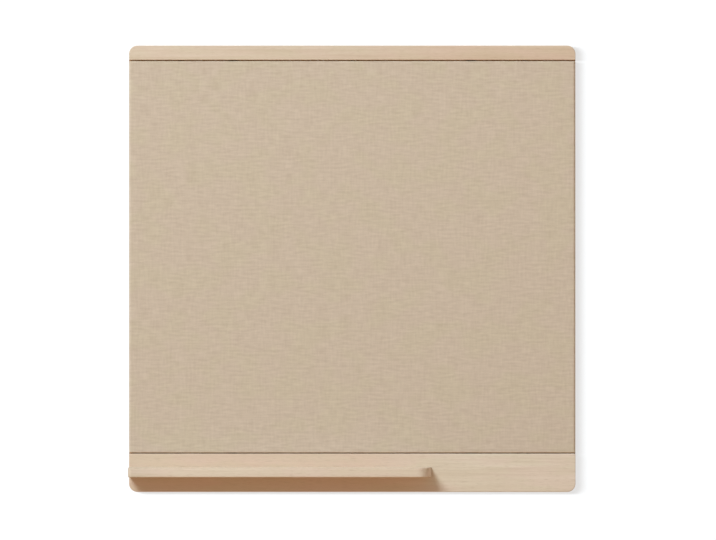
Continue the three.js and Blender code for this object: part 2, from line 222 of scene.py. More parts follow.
def makeWood(name, look, along, heart, shift, drift=plainDrift):
    wood = Finish(name, {"Specular IOR Level": look["gloss"]})
    place = wood.place(shift, {"x": (0, 0, 0), "z": (0, quarterTurn, 0)}[along])
    noise = {kind: wood.drawn(place, *numbers) for kind, numbers in woodNoise.items()}
    fibre, grain = noise["fibre"], woodGrain
    across = wood.part(place, "Y") - heart[0]
    upward = wood.part(place, "Z") - heart[1]
    distance = wood.math("SQRT", across * across + upward * upward)
    distance = distance + (noise["wander"] - 0.5) * look["wander"]
    distance = distance + (noise["near"] - 0.5) * grain["nearWander"]
    ring = distance / look["ringWidth"] % 1
    late = ring ** grain["ringPower"] * (1 - wood.band(ring, grain["ringEnd"], 1))
    pores = wood.band(noise["pore"], look["poreFrom"], look["poreFrom"] + grain["poreBand"])
    pores = pores * (1 - late * grain["latePores"])
    share = wood.band(wood.part(wood.place(), "X"), *drift["span"])
    start, end = drift["figure"]
    tone = late * look["ringShare"] + (fibre - 0.5) * look["fibreShare"]
    tone = tone + (noise["strand"] - 0.5) * look["strandShare"]
    tone = tone + (noise["patch"] - 0.5) * look["patchShare"]
    tone = tone * (share * (end - start) + start) + grain["tone"]
    ramp = wood.node("ShaderNodeValToRGB", {"stops": look["stops"]}, {"Fac": tone}, "Color")
    body = wood.mixed(pores * look["poreShare"], ramp, look["poreColour"])
    body = wood.tinted(body, share, drift["left"], drift["right"])
    hue = wood.band(noise["hue"], *grain["hueBand"])
    body = wood.tinted(body, hue, grain["pink"], grain["straw"])
    # Painted shade: a shelf's top is tinted darker above one height, to hold down the light on its
    # top face
    if "top" in drift:
        paintedTopShade = wood.band(wood.part(wood.place(), "Z"), *drift["top"])
        body = wood.tinted(body, paintedTopShade, (1, 1, 1), drift["paintedTopShade"])
    fibreHigh, poreDeep, lateDeep = grain["heights"]
    height = fibre * fibreHigh - pores * poreDeep - late * lateDeep
    fibreRough, poreRough = grain["roughShares"]
    rough = look["roughness"] + (fibre - 0.5) * fibreRough + pores * poreRough
    return wood.surface(body, rough, height, look["relief"])


oakLook = {
    "stops": [(0, (0.735, 0.595, 0.455)), (0.5, (0.675, 0.53, 0.392)), (1, (0.58, 0.44, 0.31))],
    "ringWidth": 6.5,
    "ringShare": 0.2,
    "wander": 16,
    "fibreShare": 0.42,
    "strandShare": 0.95,
    "patchShare": 0.35,
    "poreFrom": 0.57,
    "poreShare": 0.5,
    "poreColour": (0.47, 0.345, 0.23),
    "roughness": 0.72,
    "gloss": 0.12,
    "relief": 0.00006,
}
softwoodLook = {
    "stops": [(0, (0.78, 0.62, 0.38)), (0.5, (0.70, 0.52, 0.29)), (1, (0.52, 0.32, 0.15))],
    "ringWidth": 4.2,
    "ringShare": 0.75,
    "wander": 30,
    "fibreShare": 0.3,
    "strandShare": 0.3,
    "patchShare": 0.4,
    "poreFrom": 0.72,
    "poreShare": 0.3,
    "poreColour": (0.42, 0.25, 0.12),
    "roughness": 0.7,
    "gloss": 0.3,
    "relief": 0.00008,
}
beechLook = {
    "stops": [(0, (0.70, 0.47, 0.28)), (0.5, (0.62, 0.39, 0.21)), (1, (0.50, 0.29, 0.15))],
    "ringWidth": 3.1,
    "ringShare": 0.35,
    "wander": 12,
    "fibreShare": 0.4,
    "strandShare": 0.3,
    "patchShare": 0.3,
    "poreFrom": 0.64,
    "poreShare": 0.6,
    "poreColour": (0.36, 0.19, 0.10),
    "roughness": 0.66,
    "gloss": 0.35,
    "relief": 0.00004,
}
topDrift = {
    "left": (0.957, 0.982, 1.01),
    "right": (0.938, 0.905, 0.905),
    "figure": (1.1, 1.1),
    "span": (-60, 240),
}
# Towards the right the bottom rail is tinted lighter and cooler: partly the oak's own tone, partly
# painted light making up for the key lamp's fall-off
bottomDrift = {
    "left": (0.973, 0.962, 0.987),
    "right": (1.035, 1.10, 1.175),
    "figure": (0.5, 1.2),
    "span": (0, 200),
}
shelfDrift = {
    "left": (0.95, 1, 1.04),
    "right": (1.035, 1.07, 1.13),
    "figure": (1, 1),
    "span": (-370, -300),
    # Painted shade on the shelf's top: the heights between which it darkens, and its darker tint
    "top": (-609.4, -608.6),
    "paintedTopShade": (0.885, 0.845, 0.81),
}
oak = {
    "top_rail": makeWood("oakTopRail", oakLook, "x", (-60, -150), (210, 12, 40), topDrift),
    "bottom_rail": makeWood("oakBottomRail", oakLook, "x", (90, -620), (-480, 35, 15), bottomDrift),
    "shelf": makeWood("oakShelf", oakLook, "x", (40, -460), (95, -20, 260), shelfDrift),
}
softwood = {
    "left_stile": makeWood("softwoodLeftStile", softwoodLook, "z", (30, -26), (0, 40, 12)),
    "right_stile": makeWood("softwoodRightStile", softwoodLook, "z", (-44, 30), (90, 15, -320)),
    "top_batten": makeWood("softwoodTopBatten", softwoodLook, "x", (20, -40), (30, 0, 0)),
    "middle_batten": makeWood("softwoodMiddleBatten", softwoodLook, "x", (35, 190), (-70, 0, 0)),
    "bottom_batten": makeWood("softwoodBottomBatten", softwoodLook, "x", (-25, 610), (150, 0, 0)),
}
beech = makeWood("beech", beechLook, "z", (-15, 25), (0, 0, 0))

# Linen: weft along the cloth's U and warp along its V, in millimetres of flat cloth. A yarn's
# rise is the sine of its own phase; over and under change places from one crossing to the next,
# by the sign of the product of two half-speed sines. Slubs are noise drawn out along each yarn.
# A slow noise turns the hue a little to pink or to straw.
linenNoise = {  # scales along U and V
    "wobbleU": (0.25, 0.02, 1),
    "wobbleV": (0.02, 0.25, 1),
    "slub": (0.05, 0.27, 1),
    "warpSlub": (0.3, 0.045, 1),
    "thread": (0.12, 1.3, 1),
    "hue": (0.016, 0.022, 1),
}
linenLook = {
    "yarn": 0.66,  # from one yarn to the next
    "wobble": 0.5,
    "crossing": 0.25,
    "warpHeight": 0.92,
    "slubHeights": (0.8, 0.4),  # of weft and warp
    "slubs": 1.2,
    "warpSlubs": 0.68,
    "mottle": 0.10,
    "mottleScale": 0.03,
    "threads": 0.15,
    "gapBand": (0.45, 0.95),
    "gapShare": 0.22,
    "stops": [
        (0.2, (0.642, 0.538, 0.4187)),
        (0.5, (0.5975, 0.495, 0.3813)),
        (0.85, (0.547, 0.444, 0.3358)),
    ],
    "gap": (0.36, 0.27, 0.185),
    "hueBand": (0.43, 0.62),
    "pink": (1.006, 0.995, 1.014),
    "straw": (0.994, 1.005, 0.982),
    "roughness": 0.86,
    "roughShare": 0.1,
    "relief": 0.00009,
}


def makeLinen():
    look = linenLook
    fixed = {"Specular IOR Level": 0.15, "Sheen Weight": 0.12, "Sheen Roughness": 0.5}
    weave = Finish("linen", fixed)
    cloth = weave.scaled(weave.node("ShaderNodeUVMap", {"uv_map": "cloth"}, {}), millimetres)
    noise = {kind: weave.drawn(cloth, scales) for kind, scales in linenNoise.items()}
    slub, warpSlub = noise["slub"], noise["warpSlub"]
    mottle = weave.noise(cloth, look["mottleScale"])
    across = weave.part(cloth, "X") + (noise["wobbleU"] - 0.5) * look["wobble"]
    upward = weave.part(cloth, "Y") + (noise["wobbleV"] - 0.5) * look["wobble"]
    half = math.pi / look["yarn"]
    sineU = weave.math("SINE", across * half)
    sineV = weave.math("SINE", upward * half)
    warp = weave.math("ABSOLUTE", sineU)
    weft = weave.math("ABSOLUTE", sineV)
    over = weave.band(sineU * sineV, -look["crossing"], look["crossing"])
    height = over * weft + (1 - over) * warp * look["warpHeight"]
    gap = 1 - weave.band(warp + weft, *look["gapBand"])
    tone = 0.5 + (slub - 0.5) * look["slubs"] + (warpSlub - 0.5) * look["warpSlubs"]
    tone = tone + (mottle - 0.5) * look["mottle"] + (noise["thread"] - 0.5) * look["threads"]
    yarns = weave.node("ShaderNodeValToRGB", {"stops": look["stops"]}, {"Fac": tone}, "Color")
    body = weave.mixed(gap * look["gapShare"], yarns, look["gap"])
    hue = weave.band(noise["hue"], *look["hueBand"])
    body = weave.tinted(body, hue, look["pink"], look["straw"])
    weftHigh, warpHigh = look["slubHeights"]
    height = height + slub * weftHigh + warpSlub * warpHigh
    rough = look["roughness"] + (slub - 0.5) * look["roughShare"]
    return weave.surface(body, rough, height, look["relief"])


# Pressed fibre: short fibres are two noises, each drawn out another way
pressed = {
    "first": ((0.25, 1, 1.4), 4, 0.65, 1.3),  # scales, detail, roughness, scale
    "second": ((0.22, 1, 1.3), 4, 0.65, 1.1),
    "secondTurn": (0, 0.9, 0),
    "clump": (0.3, 4, 0.7),  # scale, detail, roughness
    "patch": (0.012, 3),
    "fibreBand": (0.4, 0.78),
    "clumpBand": (0.3, 0.7),
    "patchShare": 0.15,
    "roughShare": 0.15,
}
softBoardLook = {
    "dark": (0.25, 0.16, 0.085),
    "light": (0.42, 0.29, 0.17),
    "fibreShare": 0.7,
    "roughness": 0.9,
    "relief": 0.0002,
}
hardboardLook = {
    "dark": (0.14, 0.075, 0.04),
    "light": (0.25, 0.145, 0.08),
    "fibreShare": 0.75,
    "roughness": 0.55,
    "relief": 0.00003,
}


def makeFibreBoard(name, look):
    board = Finish(name, {"Specular IOR Level": 0.3})
    place = board.place()
    first = board.drawn(place, *pressed["first"])
    second = board.drawn(board.place(turn=pressed["secondTurn"]), *pressed["second"])
    clump = board.band(board.noise(place, *pressed["clump"]), *pressed["clumpBand"])
    patch = board.noise(place, *pressed["patch"])
    fibres = board.math("MAXIMUM", first, second)
    share = look["fibreShare"]
    tone = board.band(fibres, *pressed["fibreBand"]) * share + clump * (1 - share)
    tone = tone + (patch - 0.5) * pressed["patchShare"]
    body = board.mixed(tone, look["dark"], look["light"])
    rough = look["roughness"] + (first - 0.5) * pressed["roughShare"]
    return board.surface(body, rough, fibres, look["relief"])


# Zinc plate: a fine spangle, faint rolling lines and duller stains. Below an inner Y its face
# towards the board is painted dark brown: painted shade where it shows at the bottom of the joints.
zincLook = {
    "spangle": (0.9, 3, 0.6),  # scale, detail, roughness
    "spangleHeight": 0.6,
    "rolled": (6, 6, 0.15),
    "stain": (0.16, 3),
    "toneShares": (0.5, 0.5),  # of spangle and stains
    "toneBand": (0.35, 0.85),
    "dull": 0.72,
    "jointShadeBand": 0.2,
    "jointShadeColour": (0.1, 0.05, 0.02),
    "roughness": 0.3,
    "roughShares": (0.16, 0.08),  # of stains and rolling lines
    "relief": 0.00002,
}


def makeZinc(name, tint, lines, inner=None):
    look = zincLook
    metal = Finish(name, {"Specular IOR Level": 0.5, "Metallic": 1})
    place = metal.place()
    spangle = metal.noise(place, *look["spangle"])
    rolled = metal.drawn(place, look["rolled"])
    stain = metal.noise(place, *look["stain"])
    spangleTone, stainTone = look["toneShares"]
    tone = spangle * spangleTone + rolled * lines + stain * stainTone
    dull = tuple(part * look["dull"] for part in tint)
    body = metal.mixed(metal.band(tone, *look["toneBand"]), tint, dull)
    # Painted shade: below the inner Y the face towards the board turns dark brown
    if inner is not None:
        face = metal.band(metal.part(place, "Y"), inner, inner + look["jointShadeBand"])
        body = metal.mixed(face, look["jointShadeColour"], body)
    stainRough, lineRough = look["roughShares"]
    rough = look["roughness"] + stain * stainRough + rolled * lineRough
    height = spangle * look["spangleHeight"] + rolled * lines
    return metal.surface(body, rough, height, look["relief"])


# Rubber: a fine grain and a film of dust in patches
rubberLook = {
    "grain": (3.2, 3, 0.6),  # scale, detail, roughness
    "dust": (0.35, 3),
    "dustBand": (0.45, 0.75),
    "dustShare": 0.5,
    "black": (0.055, 0.055, 0.056),
    "grey": (0.13, 0.125, 0.12),
    "roughness": 0.62,
    "roughShares": (0.2, 0.1),  # of dust and grain
    "relief": 0.00004,
}


def makeRubber():
    look = rubberLook
    pads = Finish("padRubber", {"Specular IOR Level": 0.4})
    place = pads.place()
    grain = pads.noise(place, *look["grain"])
    dust = pads.band(pads.noise(place, *look["dust"]), *look["dustBand"])
    body = pads.mixed(dust * look["dustShare"], look["black"], look["grey"])
    dustRough, grainRough = look["roughShares"]
    rough = look["roughness"] + dust * dustRough + (grain - 0.5) * grainRough
    return pads.surface(body, rough, grain, look["relief"])


linenFinish = makeLinen()
softBoard = makeFibreBoard("softBoard", softBoardLook)
hardboard = makeFibreBoard("hardboard", hardboardLook)
zinc = makeZinc("zincPlate", (0.60, 0.61, 0.62), 0.35)
# The joining plates' faces towards the board, below Y -2.6 mm, are painted dark brown as shade in
# the joints
joiningZinc = makeZinc("zincJoiningPlate", (0.60, 0.61, 0.62), 0.35, -2.6)
screwZinc = makeZinc("zincScrews", (0.64, 0.60, 0.48), 0.1)
stapleSteel = makeZinc("stapleWire", (0.60, 0.61, 0.63), 0.2)
rubber = makeRubber()
print("finishes made")


# Surfaces

def addObject(name, data):
    made = bpy.data.objects.new(name, data)
    bpy.context.scene.collection.objects.link(made)
    return made


# Puts vertex arrays and face lists together into one welded mesh with its faces outwards.
# Flat faces across an axis stay flat shaded, the others are smooth up to the sharp angle.
def makePiece(name, grids, finish, nodes=(), cuts=(), sharpAngle=35, cloth=None):
    mesh = bpy.data.meshes.new(name)
    starts = np.cumsum([0] + [len(points) for points, _ in grids]).tolist()
    faces = []
    for start, (_, ownFaces) in zip(starts, grids):
        faces += [[start + corner for corner in face] for face in ownFaces]
    mesh.from_pydata(np.vstack([points for points, _ in grids]).tolist(), [], faces)
    if cloth is not None:
        corners = np.zeros(len(mesh.loops), np.int32)
        mesh.loops.foreach_get("vertex_index", corners)
        layer = mesh.uv_layers.new(name="cloth")
        layer.uv.foreach_set("vector", cloth[corners].astype(np.float32).ravel())
    weldMesh(mesh)
    piece = addObject(name, mesh)
    for cutter in cuts:
        carve(piece, cutter)
    shade(piece.data, sharpAngle)
    dress(piece, finish, nodes)
    return piece


def weldMesh(mesh):
    made = bmesh.new()
    made.from_mesh(mesh)
    bmesh.ops.remove_doubles(made, verts=made.verts, dist=weld)
    bmesh.ops.recalc_face_normals(made, faces=made.faces)
    made.to_mesh(mesh)
    made.free()
    mesh.validate()


def shade(mesh, sharpAngle=35):
    normals = np.zeros(len(mesh.polygons) * 3)
    mesh.polygons.foreach_get("normal", normals)
    flat = np.abs(normals.reshape(-1, 3)).max(axis=1) > acrossAxis
    mesh.polygons.foreach_set("use_smooth", ~flat)
    mesh.set_sharp_from_angle(angle=math.radians(sharpAngle))
    mesh.update()


def dress(piece, finish, nodes):
    piece.data.materials.clear()
    piece.data.materials.append(finish)
    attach(piece, "root")
    if nodes:
        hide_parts(*nodes)


# Joins another closed mesh on, or cuts it away, and leaves the result in the piece
def carve(piece, cutter, operation="DIFFERENCE"):
    mesh = bpy.data.meshes.new("cutter")
    mesh.from_pydata(cutter[0].tolist(), [], cutter[1])
    weldMesh(mesh)
    tool = addObject("cutter", mesh)
    cut = piece.modifiers.new("cut", "BOOLEAN")
    cut.operation = operation
    cut.solver = "EXACT"
    cut.object = tool
    seen = piece.evaluated_get(bpy.context.evaluated_depsgraph_get())
    result = bpy.data.meshes.new_from_object(seen)
    piece.modifiers.clear()
    piece.data = result
    bpy.data.objects.remove(tool)


# The faces of a grid of rows by columns. A closed grid also joins its last column to its first.
def gridFaces(rows, columns, closed=False):
    index = np.arange(rows * columns).reshape(rows, columns)
    if closed:
        index = np.hstack([index, index[:, :1]])
    corners = [index[:-1, :-1], index[:-1, 1:], index[1:, 1:], index[1:, :-1]]
    return np.stack(corners, axis=-1).reshape(-1, 4).tolist()


# An arc from one angle to another: the centre plus the radius times cosine and sine
def arc(centre, radius, start, end, steps):
    angle = np.linspace(start, end, steps + 1)[:, None]
    return np.hstack([centre[0] + radius * np.cos(angle), centre[1] + radius * np.sin(angle)])


# A rectangle with its own radius at each corner: four arcs of a quarter turn, joined in order.
# Radii run from the right upper corner round to the right lower one.
def roundedOutline(low, high, radii, steps):
    sides = [(high[0], high[1]), (low[0], high[1]), (low[0], low[1]), (high[0], low[1])]
    arcs = []
    for quarter, ((x, z), radius) in enumerate(zip(sides, radii)):
        inX = radius if quarter in (0, 3) else -radius
        inZ = radius if quarter in (0, 1) else -radius
        start = quarter * quarterTurn
        arcs.append(arc((x - inX, z - inZ), radius, start, start + quarterTurn, steps))
    return np.vstack(arcs)


# How far an outline's points move for each metre that the outline moves inwards: at a point, the
# bisector of its two edges' inward normals, divided by the cosine of half the turn
def inward(outline):
    ahead = np.roll(outline, -1, axis=0) - outline
    ahead /= np.linalg.norm(ahead, axis=1)[:, None]
    normal = np.stack([-ahead[:, 1], ahead[:, 0]], axis=1)
    total = normal + np.roll(normal, 1, axis=0)
    return 2 * total / (total ** 2).sum(axis=1)[:, None]


# A plate with rounded arrises: the outline is carried from its low face to its high one, and
# at each arris it is drawn in by the radius times one minus the sine of the arris angle, while it
# rises by the radius times one minus the cosine. The low face and the high one have each their
# own radius. axes says where the outline's two parts and the level go.
def plateRings(outline, low, high, arrises, steps, axes=(0, 2, 1)):
    angle = np.linspace(0, quarterTurn, steps + 1)
    inset = 1 - np.sin(angle)
    rise = 1 - np.cos(angle)
    insets = np.concatenate([inset * arrises[0], inset[::-1] * arrises[1]])
    levels = np.concatenate([low + rise * arrises[0], high - rise[::-1] * arrises[1]])
    flat = outline[None] + insets[:, None, None] * inward(outline)[None]
    level = np.broadcast_to(levels[:, None, None], flat.shape[:2] + (1,))
    return np.concatenate([flat, level], axis=2)[:, :, axes]


# The rings of a closed plate with a cap at either end
def plateGrid(rings):
    rows, columns = rings.shape[:2]
    faces = gridFaces(rows, columns, True)
    faces.append(list(range(columns)))
    faces.append(list(range((rows - 1) * columns, rows * columns)))
    return rings.reshape(-1, 3), faces


# A plate with a rounded outline in X and Z, carried from its face to its back
def roundedPlate(low, high, radii, sizes):
    outline = roundedOutline(low[::2], high[::2], radii, sizes["cornerSteps"])
    outline = outline[np.linalg.norm(outline - np.roll(outline, 1, axis=0), axis=1) > weld]
    arrises = [sizes["arris"]] * 2
    return plateGrid(plateRings(outline, low[1], high[1], arrises, sizes["arrisSteps"]))


# A turned surface about a line through the centre along Y or Z: a profile of radius and level,
# carried round a full turn. A relief adds to the level or the radius of each point. Both ends of
# the profile are on the line.
def turnedGrid(profile, centre, steps, axis="y", levelRelief=None, radiusRelief=None):
    angle = np.arange(steps) * 4 * quarterTurn / steps
    radius = np.broadcast_to(profile[:, :1], (len(profile), steps))
    level = np.broadcast_to(profile[:, 1:], (len(profile), steps))
    if radiusRelief is not None:
        radius = radius + radiusRelief(radius, angle[None], level)
    if levelRelief is not None:
        level = level + levelRelief(radius, angle[None], level)
    first = centre[0] + radius * np.cos(angle)
    second = centre[{"y": 2, "z": 1}[axis]] + radius * np.sin(angle)
    order = {"y": [first, level, second], "z": [first, second, level]}[axis]
    return np.stack(order, axis=-1).reshape(-1, 3), gridFaces(len(profile), steps, True)


# The low and the high corner of a node's box, as lists
def boxOf(node):
    return [list(corner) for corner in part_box(node)]


def middleOf(node):
    return [(low + high) / 2 for low, high in zip(*boxOf(node))]


def namesLike(*words):
    return sorted(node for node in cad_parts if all(word in node for word in words))


# Screws. The head's top is a disc with a cross sunk into it; below the head the shank carries a
# thread, a radius that falls with the distance to the nearest turn of the helix.
screwSizes = {  # across the shank and the head, the head's height, the thread's pitch
    "shelf_screw": (0.0035, 0.007, 0.0022, 0.0018),
    "joining_screw": (0.003, 0.0058, 0.0014, 0.0014),
    "hanger_screw": (0.003, 0.0058, 0.0014, 0.0014),
    "back_board_screw": (0.0024, 0.005, 0.0011, 0.0011),
}
screwDetail = {
    "recessShare": 0.62,  # of the head's radius
    "recessDepth": 0.0012,
    "armWidthShare": 0.17,
    "rim": 0.00018,
    "threadDepthShare": 0.3,
    "plainShare": 0.22,  # of the shank, next to the head
    "point": 0.0025,
    "armSlope": 0.5,  # of the arm's half width
    "recessSlope": 0.55,  # of the recess's radius
    "valley": (2.6, 0.25),  # how steep the thread's sides are, and where they start
    "crownRows": 15,
    "rimSteps": 3,
    "columns": 40,
    "roomColumns": 48,
    "rowsPerPitch": 6,
}


# A screw's shank radius, head radius, pitch and the level of its neck, under the head
def screwShape(node):
    shank, head, headHeight, pitch = next(screwSizes[kind] for kind in screwSizes if kind in node)
    return shank / 2, head / 2, pitch, boxOf(node)[1][1] - headHeight


def makeScrew(node):
    shankRadius, headRadius, pitch, neck = screwShape(node)
    low, high = boxOf(node)
    rim = screwDetail["rim"]
    top = np.linspace(0, headRadius - rim, screwDetail["crownRows"])
    crown = np.stack([top, np.full_like(top, high[1])], axis=1)
    rimCentre = (headRadius - rim, high[1] - rim)
    edge = arc(rimCentre, rim, quarterTurn, 0, screwDetail["rimSteps"])[1:]
    flatUnder = [[headRadius, neck + rim], [headRadius - rim, neck]]
    under = (flatUnder if "back_board" in node else []) + [[shankRadius, neck]]
    rows = int((neck - low[1]) / pitch * screwDetail["rowsPerPitch"])
    levels = np.linspace(neck, low[1], rows)[1:]
    taper = np.minimum(1, (levels - low[1]) / screwDetail["point"])
    shank = np.stack([shankRadius * taper, levels], axis=1)
    profile = np.vstack([crown, edge, np.array(under), shank])
    recess = headRadius * screwDetail["recessShare"]
    arm = headRadius * screwDetail["armWidthShare"]
    plain = neck - (neck - low[1]) * screwDetail["plainShare"]

    # Level of the cross: deepest at the middle, rising along each arm to nothing at its end
    def cross(radius, angle, level):
        sideways = np.abs(radius * np.cos(angle))
        upward = np.abs(radius * np.sin(angle))
        near = np.minimum(sideways, upward)
        far = np.maximum(sideways, upward)
        inArm = np.clip((arm - near) / (arm * screwDetail["armSlope"]) + 0.5, 0, 1)
        deep = np.clip((recess - far) / (recess * screwDetail["recessSlope"]), 0, 1)
        onTop = (level > high[1] - rim / 2) & (radius < headRadius - rim)
        return -screwDetail["recessDepth"] * inArm * deep * onTop

    # Depth of the thread's valley: the crest is where angle and level agree
    steep, begin = screwDetail["valley"]

    def thread(radius, angle, level):
        phase = (level / pitch + angle / (4 * quarterTurn)) % 1
        valley = np.clip(np.abs(phase - 0.5) * steep - begin, 0, 1) - 1
        share = np.clip((plain - level) / pitch, 0, 1)
        return valley * share * radius * screwDetail["threadDepthShare"]

    grid = turnedGrid(profile, middleOf(node), screwDetail["columns"], "y", cross, thread)
    makePiece("finished_" + node, [grid], screwZinc, [node], sharpAngle=50)


screwNodes = namesLike("screw")
for screwNode in screwNodes:
    makeScrew(screwNode)
print("screws made:", len(screwNodes))


# The room that a screw needs in a piece: a cone for its head and a hole for its shank
def screwRoom(node):
    shank, head, _, neck = screwShape(node)
    low, high = boxOf(node)
    beyond = high[1] + 2 * head
    shank, head = shank + fitGap, head + fitGap
    profile = [[0, low[1] - fitGap], [shank, low[1] + screwDetail["point"]], [shank, neck]]
    profile += [[head, high[1]], [head, beyond], [0, beyond]]
    return turnedGrid(np.array(profile), middleOf(node), screwDetail["roomColumns"])


# Oak

rail = {
    "cornerRadius": 0.014,
    "jointRadius": 0.0014,  # the small corners beside the linen
    "lowerTrim": 0.0003,  # more room in the lower joint
    "arris": 0.0012,
    "cornerSteps": 20,
    "arrisSteps": 8,
}


def makeRail(node, radii, holes, trim=0):
    low, high = boxOf(node)
    high[2] -= trim
    grid = roundedPlate(low, high, radii, rail)
    cuts = [screwRoom(hole) for hole in holes]
    makePiece("finished_" + node, [grid], oak[node], [node], cuts)


outer, inner = rail["cornerRadius"], rail["jointRadius"]
makeRail("top_rail", (outer, outer, inner, inner), namesLike("top_joining_screw_rail"))
bottomHoles = namesLike("bottom_joining_screw_rail") + namesLike("shelf_screw")
makeRail("bottom_rail", (inner, inner, outer, outer), bottomHoles, rail["lowerTrim"])

shelf = {
    "leftRadius": 0.006,
    "rightRadius": 0.02,
    "slant": 0.122,  # the right end's angle, wider at the rail than in front
    "arrises": (0.0018, 0.0012),  # below and above
    "arrisSteps": 8,
    "cornerSteps": 28,
    "behind": 0.02,  # the plan runs on past the joint, to be closed there
}
tongue = {
    "inset": 0.014,
    "thickness": 0.007,
    "overlap": 0.006,
    "corner": 0.0005,
    "cornerSteps": 3,
    "arris": 0.0003,
    "arrisSteps": 2,
}


# The shelf: a plan open at the back, carried from its underside to its top, then closed along the
# rail. The left end is square to it. The right end slants in towards the front, and its arc turns
# by a quarter less the slant. The tongue is joined on behind.
def makeShelf():
    low, high = boxOf("shelf")
    back = boxOf("bottom_rail")[0][1] - fitGap
    radius, down, steps = shelf["leftRadius"], 3 * quarterTurn, shelf["cornerSteps"]
    left = arc((low[0] + radius, low[1] + radius), radius, 2 * quarterTurn, down, steps)
    radius, slant = shelf["rightRadius"], shelf["slant"]
    run = back - low[1] - radius + radius * math.sin(slant)
    inset = radius * math.cos(slant) + run * math.tan(slant)
    right = arc((high[0] - inset, low[1] + radius), radius, down, 4 * quarterTurn - slant, steps)
    behind, out = back + shelf["behind"], shelf["behind"] * math.tan(slant)
    ends = [[[low[0], behind]], [[low[0], back]], left]
    ends += [right, [[high[0], back]], [[high[0] + out, behind]]]
    plan, arrisSteps = np.vstack(ends), shelf["arrisSteps"]
    rings = plateRings(plan, low[2], high[2], shelf["arrises"], arrisSteps, [0, 1, 2])[:, 1:-1]
    rows, columns = rings.shape[:2]
    index = np.arange(rows * columns).reshape(rows, columns)
    faces = gridFaces(rows, columns)
    faces += [index[0].tolist(), index[-1].tolist()]
    faces.append(index[:, 0].tolist() + index[::-1, -1].tolist())
    grid = (rings.reshape(-1, 3), faces)
    piece = makePiece("finished_shelf", [grid], oak["shelf"], ["shelf"])
    middle, half = (low[2] + high[2]) / 2, tongue["thickness"] / 2
    tongueLow = (low[0] + tongue["inset"], back - tongue["overlap"], middle - half)
    tongueHigh = (high[0] - tongue["inset"], high[1], middle + half)
    carve(piece, roundedPlate(tongueLow, tongueHigh, [tongue["corner"]] * 4, tongue), "UNION")
    for node in namesLike("shelf_screw"):
        carve(piece, screwRoom(node))
    shade(piece.data)


makeShelf()
print("oak made")


# Linen

linen = {
    "sideArris": 0.0041,
    "endArris": 0.0013,
    "lowerGap": 0.0004,  # more room beside the rails
    "upperGap": 0.001,
    "backArris": 0.0012,
    "hem": 0.028,
    "thickness": 0.0006,
    "cornerPower": 0.4,  # below 1 the corner is squarer than an ellipse
    "columns": 150,
    "rows": 132,
    "cornerColumns": 8,  # at one corner, an even number
    "arrisRows": 10,
    "wallRows": 3,
    "hemRows": 8,
    "unevenness": 0.00012,
    "swells": ((41, 13, 0, 1), (-9, 57, 1.3, 1), (97, 71, 2.1, 0.5)),
    "swellBorder": 0.02,
    "foldLift": 0.0007,
    "foldReach": 0.012,
    "underlap": 0.003,
    "mitreGap": 0.0002,
    "cutEdge": 0.0005,
    "cutWaves": ((61, 0), (143, 1), (317, 2)),
}


# Slow swells of the stretched cloth: three crossing sines, held at zero along the border. Each
# has its turns along X and Z, its start and its share.
def swells(across, upward, low, high):
    total = sum(share for *_, share in linen["swells"])
    waves = sum(
        np.sin(across * alongX + upward * alongZ + start) * share
        for alongX, alongZ, start, share in linen["swells"]
    )
    inset = np.minimum(across - low[0], high[0] - across)
    inset = np.minimum(inset, np.minimum(upward - low[1], high[1] - upward))
    return (waves + total) / (2 * total) * np.clip(inset / linen["swellBorder"], 0, 1)


